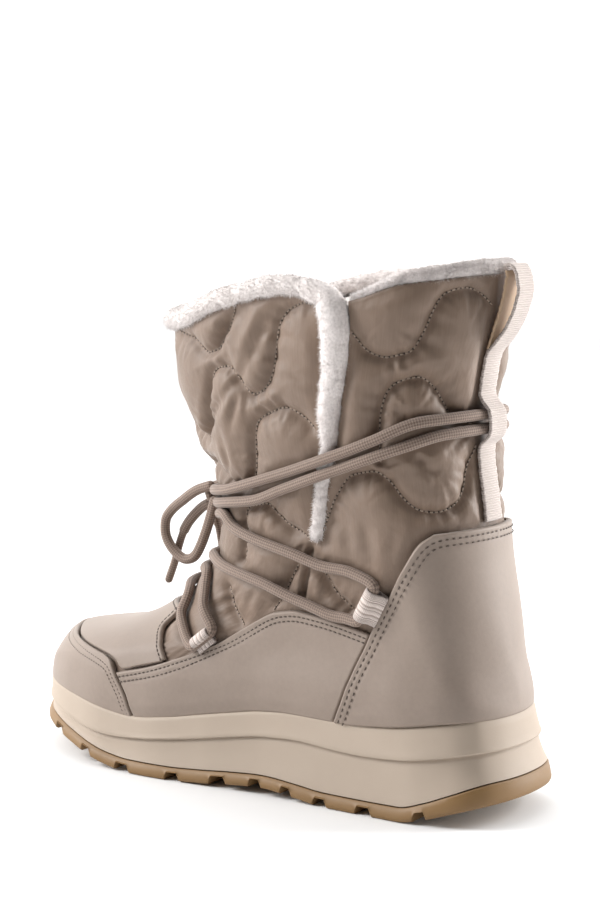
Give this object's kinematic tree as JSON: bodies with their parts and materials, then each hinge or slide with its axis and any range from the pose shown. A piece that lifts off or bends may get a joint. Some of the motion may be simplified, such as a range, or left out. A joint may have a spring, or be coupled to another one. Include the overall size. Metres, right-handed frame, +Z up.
{
  "type": "outdoor boot",
  "caption": "Quilted ankle-high winter boot with leather overlays, fur collar trim, slit sides, webbing loops and a wrapped lace on a lugged cup sole.",
  "frame": {"origin": "on the floor under the middle of the boot's box, free lace left out", "axes": "+Z up, +Y towards the heel, +X towards the outer side of this left boot"},
  "size_m": [0.1068, 0.2714, 0.2408],
  "materials": {
    "gum_rubber": "satin",
    "beige_foam": "matte",
    "footbed_felt": "matte",
    "quilted_cloth": "satin",
    "greige_leather": "matte",
    "cream_webbing": "matte",
    "tan_leather": "matte",
    "pale_fur": "matte",
    "taupe_lace": "matte"
  },
  "bodies": {
    "root": {"outsole": "gum_rubber", "midsole": "beige_foam", "insole": "footbed_felt", "upper": "quilted_cloth", "toe_cap": "greige_leather", "vamp": "greige_leather", "side_panel_outer": "greige_leather", "side_panel_inner": "greige_leather", "heel_counter": "greige_leather", "back_tape": "cream_webbing", "pull_backing": "tan_leather", "upper_lace_loop_outer": "cream_webbing", "upper_lace_loop_inner": "cream_webbing", "lower_lace_loop_outer": "cream_webbing", "lower_lace_loop_inner": "cream_webbing", "fur_front": "pale_fur", "fur_rear": "pale_fur", "lace_ankle_upper": "taupe_lace", "lace_ankle_lower": "taupe_lace", "lace_instep": "taupe_lace", "lace_throat": "taupe_lace", "lace_knot": "taupe_lace", "lace_bow_outer": "taupe_lace", "lace_bow_inner": "taupe_lace", "lace_end_outer": "taupe_lace", "lace_end_inner": "taupe_lace"}
  },
  "joints": []
}
